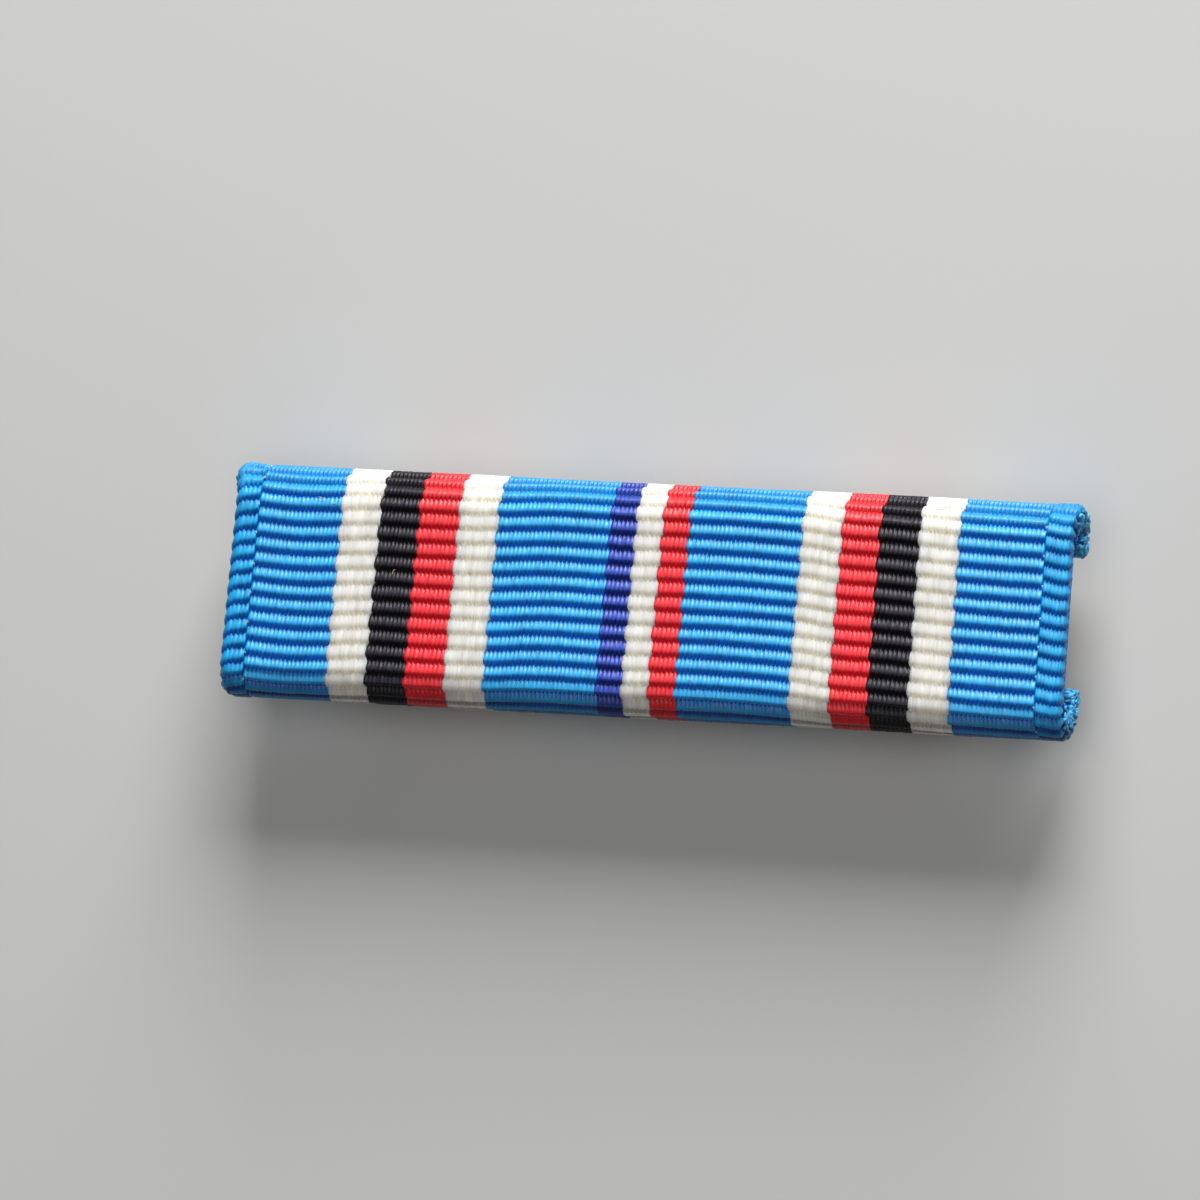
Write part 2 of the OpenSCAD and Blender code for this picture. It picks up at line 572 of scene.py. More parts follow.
@dataclass(frozen=True)
class MetalFinish:
    """Rolled metal with fine brush marks, small scratches and a little tarnish."""

    name: str
    colour: Colour
    tarnish: Colour
    roughness: float
    # How often the brush marks change along each axis, and the scales of the stains and of the scratches
    brush: tuple[float, float, float]
    stain_scale: float = 420.0
    scratch_scale: float = 1900.0
    # Number and strength of each noise's finer layers, and the part of its values that is put to use
    brush_layers: tuple[float, float] = (4.0, 0.7)
    brush_range: tuple[float, float] = (0.25, 0.75)
    stain_layers: tuple[float, float] = (5.0, 0.62)
    stain_range: tuple[float, float] = (0.46, 0.72)
    scratch_layers: tuple[float, float] = (3.0, 0.6)
    # How much smoother and rougher the brush marks make it, and how much rougher the stains are
    smoother: float = 0.07
    rougher: float = 0.1
    stain_rougher: float = 0.16
    # Brightness between the brush marks and on them
    shade: tuple[float, float] = (0.93, 1.04)
    bump: float = 0.01 * MM
    bump_strength: float = 0.7
    bump_parts: tuple[float, float] = (0.6, 0.4)

    def make(self) -> bpy.types.Material:
        """Makes the material.

        Returns:
            The material, which reads object coordinates.
        """
        g = ShaderGraph(self.name)
        place = g.node("ShaderNodeTexCoord").outputs["Object"]
        brushed = g.named("ShaderNodeMapping", Vector=place, Scale=self.brush)
        marks = g.noise(brushed, 1.0, self.brush_layers)
        stain = g.span(g.noise(place, self.stain_scale, self.stain_layers), *self.stain_range)
        scratches = g.noise(place, self.scratch_scale, self.scratch_layers)
        colour = g.mix(stain, linear(self.colour), linear(self.tarnish))
        rough_range = (self.roughness - self.smoother, self.roughness + self.rougher)
        rough = g.span(marks, *self.brush_range, *rough_range)
        mark_part, scratch_part = self.bump_parts
        height = g.plus(g.times(marks, mark_part), g.times(scratches, scratch_part))
        return g.finished({
            "Base Color": g.lit(colour, g.span(marks, *NOISE_RANGE, *self.shade)),
            "Metallic": 1.0,
            "Roughness": g.plus(rough, g.span(stain, 0.0, 1.0, 0.0, self.stain_rougher)),
            "Normal": g.bump(height, self.bump, self.bump_strength),
        })


BRASS = MetalFinish("rolled_brass", (206, 166, 96), (178, 140, 78), 0.34, (180.0, 9000.0, 9000.0))
STEEL = MetalFinish("brushed_steel", (196, 196, 192), (166, 164, 158), 0.3, (300.0, 8000.0, 8000.0))


@dataclass
class WrapPath:
    """The line that the ribbon takes round the metal bar, seen from the end of the bar."""

    core_reach: float
    inner_r: float
    outer_r: float
    core_z: float
    tail_flat: float

    @classmethod
    def from_frame(cls, seat_gap: float, tail_flat: float) -> "WrapPath":
        """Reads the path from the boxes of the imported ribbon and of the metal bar.

        Args:
            seat_gap: Gap between the metal bar and the ribbon.
            tail_flat: Straight length of a tail on the back.

        Returns:
            The path.
        """
        low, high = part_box("ribbon")
        bar_low, bar_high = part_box("back_plate")
        outer_r = (high[2] - low[2]) / 2
        return cls(
            core_reach=high[1] - outer_r,
            inner_r=(bar_high[2] - bar_low[2]) / 2 + seat_gap,
            outer_r=outer_r,
            core_z=(low[2] + high[2]) / 2,
            tail_flat=tail_flat,
        )

    @property
    def half_cloth(self) -> float:
        """Half the cloth's thickness, which is also the radius of its rounded edges."""
        return (self.outer_r - self.inner_r) / 2

    @property
    def end_run(self) -> float:
        """Run at which a tail's rounded end begins."""
        return self.core_reach + math.pi * self.outer_r + self.tail_flat

    def place(self, run: np.ndarray, depth: Numbers) -> tuple[np.ndarray, np.ndarray]:
        """Finds points of the wrapped cloth.

        Args:
            run: Distances along the ribbon.
            depth: Depths below the crests.

        Returns:
            Their Y and Z.
        """
        side = np.sign(run)
        past = np.abs(run) - self.core_reach
        roll = math.pi * self.outer_r
        turn = np.clip(past / self.outer_r, 0, math.pi)
        core = np.where(past < 0, np.abs(run), self.core_reach - np.maximum(past - roll, 0))
        reach = self.outer_r - depth
        return side * (core + reach * np.sin(turn)), self.core_z + reach * np.cos(turn)

    def end_place(self, side: Numbers, turn: Numbers, reach: np.ndarray) -> tuple[np.ndarray, np.ndarray]:
        """Finds points of a tail's rounded end.

        Args:
            side: 1 for the top tail, -1 for the bottom one.
            turn: Angle from the outside of the tail, in radians.
            reach: Distances from the middle of the cloth's thickness.

        Returns:
            Their Y and Z.
        """
        middle_y = self.core_reach - self.tail_flat
        middle_z = self.core_z - self.inner_r - self.half_cloth
        return side * (middle_y - reach * np.sin(turn)), middle_z - reach * np.cos(turn)


@dataclass
class Columns:
    """The lines of a woven piece that run along the ribbon, from left to right."""

    x: np.ndarray
    thread: np.ndarray
    # How far the bow moves the ribs along the ribbon
    shift: np.ndarray
    # On a rounded edge: the angle round it, the sign of its x and how far it reaches along the bar
    edge_turn: Numbers = 0.0
    edge_side: int = 0
    edge_r: float = 0.0
    # How much deeper the columns lie, the share of the ribs' depth, and the share of the rounded corner
    sink: Numbers = 0.0
    relief: Numbers = 1.0
    corner: Numbers = 0.0


@dataclass
class Weave:
    """The rep weave: ribs across the ribbon, on each of which every second warp thread floats."""

    path: WrapPath
    half_width: float
    rib_pitch: float = 0.597 * MM
    groove: float = 0.2 * MM
    # Where a rib's crest lies, from -1 at its lower valley to 1 at its upper one, and how round it is
    crest: float = -0.25
    crest_round: float = 0.3
    # Depth of the stripes' and bands' own layer, under which the ground of the cloth lies
    layer: float = 0.84 * MM
    # How far a float reaches into the next rib, and how much that differs from thread to thread
    tooth: float = 0.062 * MM
    tooth_spread: float = 0.22
    # How far a float drops towards its sides, on the crest and further at its tips
    thread_round: float = 0.006 * MM
    tip_round: float = 0.024 * MM
    side_power: float = 2.2
    tip_power: int = 4
    # How late a rib's own shape gives way to the valley's depth
    valley_power: int = 8
    # How much the floats' heights differ
    lift_spread: float = 0.005 * MM
    # The valleys' small waves: how many, their height and their shortest and longest length
    waves: int = 3
    wave_height: float = 0.005 * MM
    wave_length: tuple[float, float] = (2.2 * MM, 9 * MM)
    # How far the ribbon leans along the bar for each unit of height, by distance from its middle in mm, and
    # the share of the lean that is left on the back
    lean: Curve = ((-13.0, 0.046), (0.0, 0.039), (7.0, 0.031), (13.0, 0.014))
    back_lean: float = 0.3
    # Where the selvedges swell: the middle and half the height of the swelling, and how far inwards it goes
    swell_y: float = 4.3 * MM
    swell_span: float = 0.5 * MM
    swell_reach: float = 1.3 * MM
    # A tail's cut end swells out of the last valley: how fast, and the share of the relief that goes
    end_swell: float = 2.2
    end_fill: float = 0.8
    rows_a_rib: int = 10
    columns_a_thread: int = 6
    end_rows: int = 6
    ribs_a_side: int = 13
    # The valley, counted from the middle, beyond which the ribs are respaced to end with the tails, and over
    # how many valleys that grows
    respaced_from: int = 8
    respaced_over: int = 5
    # The crests' mean height above the middle of the face
    level: float = -0.46 * MM
    # Where the ribs' bow begins to fade towards the cut ends
    fade_from: float = 5.2 * MM
    corner_r: float = 0.12 * MM
    threads: int = sum(stripe.threads for stripe in STRIPES)
    # Random numbers kept for threads past each selvedge
    spare: int = 20
    # How high the crest nearest the middle lies above it, by distance from the ribbon's left end, in mm
    bow: Curve = (
        (1.1, -0.29), (2.8, -0.40), (4.4, -0.35), (6.4, -0.24), (8.4, -0.27), (10.8, -0.25), (13.4, -0.10),
        (16.4, -0.13), (22.4, -0.16), (24.0, -0.25), (25.6, -0.44), (27.2, -0.49), (30.4, -0.70),
        (33.6, -0.82),
    )
    chance: np.random.Generator = field(default_factory=lambda: np.random.default_rng(SEED))

    def __post_init__(self) -> None:
        """Places the threads and the valleys and draws the small irregularities."""
        counts = list(accumulate((stripe.threads for stripe in STRIPES), initial=0))
        edges = list(accumulate((stripe.width for stripe in STRIPES), initial=0.0))
        bands = ((1, self.body[0], LEFT.width), (-1, self.body[1], edges[-1] - RIGHT.width))
        for place, count, edge in bands:
            counts.insert(place, count)
            edges.insert(place, edge)
        self.known_threads = np.array(counts)
        self.known_x = np.array(edges) / edges[-1] * 2 * self.half_width
        numbers = np.arange(-self.ribs_a_side, self.ribs_a_side + 1)
        runs = (numbers + 0.5) * self.rib_pitch + self.level
        for end, side in ((0, -1), (-1, 1)):
            miss = side * self.path.end_run - runs[end]
            share = np.clip((side * numbers - self.respaced_from) / self.respaced_over, 0, 1) ** 2
            runs = runs + miss * share
        self.valleys = runs
        self.ribs = len(runs) - 1
        self.fade = 1 - smooth_step((np.abs(runs) - self.fade_from) / (self.path.end_run - self.fade_from))
        shape, spares = (len(runs), self.waves), 2 * self.spare
        self.wave_turns = self.chance.uniform(0, 2 * math.pi, shape)
        self.wave_lengths = self.chance.uniform(*self.wave_length, shape)
        self.tip_scale = self.chance.normal(0, self.tooth_spread, (len(runs), 2 * self.threads + spares))
        self.lift = self.chance.normal(0, self.lift_spread, (len(runs) + 2, self.threads + spares))

    @property
    def body(self) -> tuple[int, int]:
        """Numbers of the first thread between the bands and of the first one after them."""
        return LEFT.threads, self.threads - RIGHT.threads

    def thread_place(self, thread: Numbers) -> Numbers:
        """Returns the x of each thread number, which is spaced evenly in each stripe."""
        return np.interp(thread, self.known_threads, self.known_x) - self.half_width

    def body_shift(self, x: np.ndarray) -> np.ndarray:
        """Returns how far the bow moves the ribs along the ribbon at each x."""
        return smooth_curve((x + self.half_width) / MM, self.bow) * MM - self.level

    def settle(self, x: np.ndarray, y: np.ndarray, z: np.ndarray) -> np.ndarray:
        """Moves points of a straight, even wrap to where they lie on the worn ribbon.

        Args:
            x: Places along the bar.
            y: Places across the bar.
            z: Heights.

        Returns:
            The points, one in a row.
        """
        front = smooth_step((z - self.path.core_z) / (2 * self.path.outer_r) + 0.5)
        lean = smooth_curve(x / MM, self.lean) * (self.back_lean + (1 - self.back_lean) * front)
        near_end = smooth_step(1 - (self.half_width - np.abs(x)) / self.swell_reach)
        above = (y - self.swell_y) / self.swell_span
        out = np.where(x < 0, -LEFT.swell_out, RIGHT.swell_out) * near_end * np.exp(-above ** 2)
        up = np.where(x < 0, LEFT.swell_up, RIGHT.swell_up) * near_end * smooth_step(above + 1)
        return np.stack([x + lean * y + out, y + up, z], axis=1)

    def valley(self, number: int, columns: Columns) -> np.ndarray:
        """Finds one valley between two ribs.

        Args:
            number: The valley's number from the lower tail's end.
            columns: The piece's columns.

        Returns:
            Its run at each column.
        """
        plain = self.valleys[number] + columns.shift * self.fade[number]
        if number in (0, self.ribs):
            return plain
        waves = np.zeros_like(columns.x)
        for turn, length in zip(self.wave_turns[number], self.wave_lengths[number]):
            waves += self.wave_height * np.sin(2 * math.pi * columns.x / length + turn)
        half = np.floor(2 * columns.thread + 0.5).astype(int) + self.spare
        teeth = self.tooth * -np.cos(2 * math.pi * columns.thread) * (1 + self.tip_scale[number, half])
        return plain + (waves + (teeth if number % 2 else -teeth))

    def valleys_at(self, columns: Columns) -> list[np.ndarray]:
        """Finds every valley's run at each column."""
        return [self.valley(number, columns) for number in range(self.ribs + 1)]

    @staticmethod
    def run(valleys: list[np.ndarray], rib: int, across: float) -> np.ndarray:
        """Finds the run of a place on a rib, from -1 at its lower valley to 1 at its upper one."""
        low, high = valleys[rib], valleys[rib + 1]
        return (low + high) / 2 + across * (high - low) / 2

    def arch(self, across: np.ndarray) -> np.ndarray:
        """Finds the depth of a plain rib, which is a roof with a rounded crest.

        Args:
            across: Places on the rib, from -1 at its lower valley to 1 at its upper one.

        Returns:
            The depths below its crest.
        """
        side = np.where(across > self.crest, 1 - self.crest, 1 + self.crest)
        fall = np.hypot(across - self.crest, self.crest_round) - self.crest_round
        return self.groove * fall / (np.hypot(side, self.crest_round) - self.crest_round)

    def relief(self, rib: int, across: float, columns: Columns) -> np.ndarray:
        """Finds how deep the surface of a rib lies.

        Args:
            rib: The rib's number.
            across: Place on the rib, from -1 at its lower valley to 1 at its upper one.
            columns: The piece's columns.

        Returns:
            The depth below the crests at each column.
        """
        place = columns.thread + 0.5 * (rib % 2)
        number = np.floor(place).astype(int)
        aside = np.abs(2 * (place - number) - 1)
        level = 1 - abs(across) ** self.valley_power
        tip = across ** self.tip_power
        # Between two threads the rib is cut short, and dips only near its ends
        short = 1 + 2 * self.tooth / self.rib_pitch * np.minimum(np.cos(math.pi * aside), 0)
        end = short if across > self.crest else -short
        arch = self.arch(across * short) + (self.groove - self.arch(end)) * (1 - level)
        rounding = (self.thread_round + self.tip_round * tip) * aside ** self.side_power * level
        lift = self.lift[rib, number + self.spare] * (1 - aside ** 2) * (1 - tip)
        return (arch + rounding) * columns.relief + lift + columns.sink * level


@dataclass
class Rows:
    """The lines of a woven piece that run across the ribbon, from the lower tail's end to the upper one."""

    weave: Weave

    def __post_init__(self) -> None:
        """Lists the rows of the two rounded ends and of the ribs between them."""
        w, ends = self.weave, self.weave.end_rows
        steps = np.sin(np.linspace(-0.5, 0.5, w.rows_a_rib + 1) * math.pi)
        turns = [math.pi / 2 * i / ends for i in range(1, ends + 1)]
        middle = [(rib, i) for rib in range(w.ribs) for i in range(w.rows_a_rib)]
        self.rib = [0] * ends + [rib for rib, _ in middle] + [w.ribs - 1] * (ends + 1)
        self.across = [-1.0] * ends + [steps[i] for _, i in middle] + [1.0] * (ends + 1)
        self.end_turn = turns[::-1] + [0.0] * (len(middle) + 1) + turns
        # Heights on the map named weave, in ribs from the lower tail's end
        self.height = [(i - ends) / ends for i in range(ends)]
        self.height += [rib + i / w.rows_a_rib for rib, i in middle]
        self.height += [w.ribs + i / ends for i in range(ends + 1)]
        self.count = len(self.rib)
        self.first = ends
        self.last = self.count - 1 - ends

    def surface(self, columns: Columns) -> np.ndarray:
        """Works out the outside of a woven piece.

        Args:
            columns: The piece's columns.

        Returns:
            Points, one for each row and column.
        """
        w, path = self.weave, self.weave.path
        valleys = w.valleys_at(columns)
        points = np.zeros((self.count, len(columns.x), 3))
        for i, (rib, across, turn) in enumerate(zip(self.rib, self.across, self.end_turn)):
            deep = w.relief(rib, across, columns)
            if turn:
                # The cut end swells out of the last valley, with stubs of thread
                swell = math.sin(min(turn * w.end_swell, math.pi / 2))
                stubs = w.thread_round * (1 + np.cos(2 * math.pi * columns.thread)) * math.sin(turn)
                deep = deep * (1 - w.end_fill * swell) + stubs * columns.relief
            edge_in = (path.half_cloth - deep) * np.cos(columns.edge_turn)
            if turn:
                y, z = path.end_place(1 if i > self.last else -1, turn, edge_in)
            else:
                y, z = path.place(w.run(valleys, rib, across), path.half_cloth - edge_in)
            beyond = (columns.edge_r - deep) * np.sin(columns.edge_turn)
            past = np.abs(y) - (path.core_reach + path.outer_r - w.corner_r)
            inset = w.corner_r - np.sqrt(np.maximum(w.corner_r ** 2 - np.maximum(past, 0) ** 2, 0))
            x = columns.x + columns.edge_side * (beyond - inset * columns.corner)
            points[i] = w.settle(x, y, z)
        return points

    def inside(self, columns: Columns) -> np.ndarray:
        """Works out the underside of a woven piece, deep in the cloth.

        Args:
            columns: The piece's columns.

        Returns:
            Points, one for each row and column.
        """
        w = self.weave
        valleys = w.valleys_at(columns)
        runs = [w.run(valleys, rib, across) for rib, across in zip(self.rib, self.across)]
        return np.array([w.settle(columns.x, *w.path.place(run, w.layer)) for run in runs])


@dataclass
class WovenSkin:
    """Builds a closed woven layer from its rows and columns."""

    rows: Rows
    columns: Columns
    # The first and the last column between each row and the next
    starts: list[int]
    stops: list[int]
    # Whether a side is cut and gets a face of its own, or ends in a rounded edge
    cut_left: bool = True
    cut_right: bool = True

    def __post_init__(self) -> None:
        """Works out the outside and the inside, and the columns where the layer's width may change."""
        self.layers = (self.rows.surface(self.columns), self.rows.inside(self.columns))
        self.numbers: dict[tuple[int, int, int], int] = {}
        self.points: list[np.ndarray] = []
        cells = range(self.rows.count - 1)
        near = [[i for i in (row - 1, row) if i in cells] for row in range(self.rows.count)]
        self.marks = [sorted({c for i in pair for c in (self.starts[i], self.stops[i])}) for pair in near]

    def number(self, layer: int, row: int, column: int) -> int:
        """Gives a point its number when it is first used.

        Args:
            layer: 0 for the outside, 1 for the inside.
            row: The point's row.
            column: The point's column.

        Returns:
            The point's number.
        """
        key = (layer, row, column)
        if key not in self.numbers:
            self.numbers[key] = len(self.points)
            self.points.append(self.layers[layer][row, column])
        return self.numbers[key]

    def rounded(self, column: int) -> bool:
        """Tells whether a rounded edge ends at a column."""
        last = len(self.columns.x) - 1
        return (column == 0 and not self.cut_left) or (column == last and not self.cut_right)

    def nearest(self, row: int) -> int:
        """Gives the nearest row between the rounded ends."""
        return min(max(row, self.rows.first), self.rows.last)

    def over(self, row: int, column: int) -> int:
        """Gives the number of an outside point. The points of a rounded edge meet at each tail's corner."""
        return self.number(0, self.nearest(row) if self.rounded(column) else row, column)

    def below(self, row: int, column: int) -> int:
        """Gives the number of an inside point, or of the outside point that a rounded edge ends in."""
        return self.number(0 if self.rounded(column) else 1, self.nearest(row), column)

    def build(self, name: str, finish: bpy.types.Material) -> bpy.types.Object:
        """Builds the piece.

        Args:
            name: The piece's name.
            finish: Its material.

        Returns:
            The piece, closed, with a map named weave.
        """
        faces: list[list[int]] = []
        corners: list[float] = []
        threads, heights = self.columns.thread, self.rows.height
        for i in range(self.rows.count - 1):
            shift = 0.5 * (self.rows.rib[i] % 2)
            low, high = heights[i], heights[i + 1]
            for j in range(self.starts[i], self.stops[i]):
                face = [self.over(i, j), self.over(i, j + 1), self.over(i + 1, j + 1), self.over(i + 1, j)]
                left, right = threads[j] + shift, threads[j + 1] + shift
                places = [(left, low), (right, low), (right, high), (left, high)]
                kept = [k for k in range(4) if face[k] != face[k - 1]]
                faces.append([face[k] for k in kept])
                for k in kept:
                    corners.extend(places[k])
        outside = len(faces)
        closing = [*self.sides_and_inside(), *self.steps(), *self.cut_ends()]
        faces.extend(face for face in map(self.without_repeats, closing) if len(face) > 2)
        return woven_piece(name, self.points, faces, corners, outside, finish)

    def sides_and_inside(self) -> list[list[int]]:
        """Lists the faces of the cut sides and of the inside.

        Returns:
            The faces.
        """
        rows, over, below = self.rows, self.over, self.below
        faces: list[list[int]] = []
        for i in range(rows.count - 1):
            start, stop = self.starts[i], self.stops[i]
            if self.cut_left:
                faces.append([over(i, start), over(i + 1, start), below(i + 1, start), below(i, start)])
            if self.cut_right:
                faces.append([over(i + 1, stop), over(i, stop), below(i, stop), below(i + 1, stop)])
            if rows.first <= i < rows.last:
                ahead = [c for c in self.marks[i + 1] if start <= c <= stop]
                back = [c for c in self.marks[i] if start <= c <= stop]
                faces.append([below(i + 1, c) for c in ahead] + [below(i, c) for c in reversed(back)])
        return faces

    def steps(self) -> list[list[int]]:
        """Lists the faces of the steps in the cut sides, where one rib ends further out than the next.

        Returns:
            The faces.
        """
        faces: list[list[int]] = []
        for row in range(1, self.rows.count - 1):
            for ends, at_right in ((self.starts, False), (self.stops, True)):
                before, after = ends[row - 1], ends[row]
                if before == after:
                    continue
                low, high = min(before, after), max(before, after)
                step = [self.over(row, j) for j in range(low, high + 1)]
                step += [self.below(row, high), self.below(row, low)]
                faces.append(step if (before < after) != at_right else step[::-1])
        return faces

    def cut_ends(self) -> list[list[int]]:
        """Lists the faces of the upper tail's cut end and of the lower tail's.

        Returns:
            The faces.
        """
        first, last, top = self.rows.first, self.rows.last, self.rows.count - 1
        start, stop = self.starts[-1], self.stops[-1]
        upper = [self.below(last, start)] + [self.over(top, j) for j in range(start, stop + 1)]
        upper += [self.below(last, c) for c in reversed(self.marks[last]) if start < c <= stop]
        start, stop = self.starts[0], self.stops[0]
        lower = [self.below(first, c) for c in self.marks[first] if start <= c <= stop]
        lower += [self.over(0, j) for j in range(stop, start - 1, -1)]
        return [upper, lower]

    @staticmethod
    def without_repeats(face: list[int]) -> list[int]:
        """Drops the corners of a face that come twice in a row."""
        return [c for k, c in enumerate(face) if c != face[k - 1]]


@dataclass
class ClothGround:
    """The ground of the cloth, which lies next to the metal bar and shows at the bar's ends."""

    weave: Weave
    # Gap between the ground and the yarn over it
    gap: float = 0.02 * MM
    edge_points: int = 9
    back_points: int = 42
    rings_a_rib: int = 6
    end_rings: int = 6
    # Angle round a tail's cut end at which the ground stops
    end_turn: float = 0.62 * math.pi
    # How much further the back lies from the metal bar at the valleys, and the depth at which it begins, in
    # halves of the cloth's thickness
    dent: float = 0.05 * MM
    back_from: float = 1.9
    # Distances from the ribbon's ends beyond which the ribs' bow stays level
    bow_held: tuple[float, float] = (1.1 * MM, 1.3 * MM)

    def section(self) -> tuple[np.ndarray, np.ndarray]:
        """Draws the ground's outline, seen along the ribbon.

        Returns:
            The x and the depth of its points: the left edge, the back, the right edge, and the two points
            under the stripes.
        """
        w, radius = self.weave, self.weave.path.half_cloth
        turns = np.linspace(math.pi / 2, math.pi, self.edge_points)
        edge_depth = np.maximum(radius * (1 - np.cos(turns)), radius + self.gap)
        left, right = LEFT.edge_r - w.half_width, w.half_width - RIGHT.edge_r
        back = np.linspace(left, right, self.back_points)[1:-1]
        left_x = left - (LEFT.edge_r - LEFT.inset) * np.sin(turns)
        right_x = right + (RIGHT.edge_r - RIGHT.inset) * np.sin(turns)
        x = np.concatenate([left_x, back, right_x[::-1], (right, left)])
        back_depth = np.full(len(back), 2 * radius)
        depth = np.concatenate([edge_depth, back_depth, edge_depth[::-1], [w.layer + self.gap] * 2])
        return x, depth

    def build(self, finish: bpy.types.Material) -> bpy.types.Object:
        """Builds the ground from rings round its outline.

        Args:
            finish: Its material.

        Returns:
            The ground, closed.
        """
        w, path = self.weave, self.weave.path
        x, depth = self.section()
        thread = (x + w.half_width) / (2 * w.half_width / w.threads)
        held = np.clip(x, -w.half_width + self.bow_held[0], w.half_width - self.bow_held[1])
        valleys = w.valleys_at(Columns(x, thread, w.body_shift(held)))
        steps = np.linspace(-1, 1, self.rings_a_rib + 1)
        marks = [(rib, across) for rib in range(w.ribs) for across in steps[:-1]] + [(w.ribs - 1, 1.0)]
        dent = np.where(depth > self.back_from * path.half_cloth, self.dent, 0)
        rings: list[np.ndarray] = []
        heights: list[float] = []
        for rib, across in marks:
            rings.append(w.settle(x, *path.place(w.run(valleys, rib, across), depth - dent * across ** 2)))
            heights.append(rib + (across + 1) / 2)
        reach = depth - path.half_cloth
        for turn in np.linspace(math.pi, self.end_turn, self.end_rings + 1)[1:]:
            lower, upper = (w.settle(x, *path.end_place(side, turn, reach)) for side in (-1, 1))
            rings = [lower, *rings, upper]
            heights = [-0.5, *heights, w.ribs + 0.5]
        around = len(x)
        faces: list[list[int]] = []
        corners: list[float] = []
        for i in range(len(rings) - 1):
            for j in range(around):
                k = (j + 1) % around
                face = ((i + 1, j), (i + 1, k), (i, k), (i, j))
                faces.append([ring * around + c for ring, c in face])
                for ring, c in face:
                    corners.extend((thread[c], heights[ring]))
        faces.extend(self.end_faces(around, len(rings)))
        return woven_piece("ribbon_ground", np.concatenate(rings), faces, corners, 0, finish)

    @staticmethod
    def end_faces(around: int, rings: int) -> list[list[int]]:
        """Closes each cut end by two fans, from the two points under the stripes.

        Args:
            around: Number of points in a ring, of which the last two lie under the stripes.
            rings: Number of rings.

        Returns:
            The faces of the lower end, then those of the upper one.
        """
        left, right, half = around - 1, around - 2, around // 2
        lower = [[left, j, j + 1] for j in range(half)] + [[right, left, half]]
        lower += [[right, j, j + 1] for j in range(half, right - 1)]
        first = (rings - 1) * around
        return lower + [[first + c for c in reversed(face)] for face in lower]


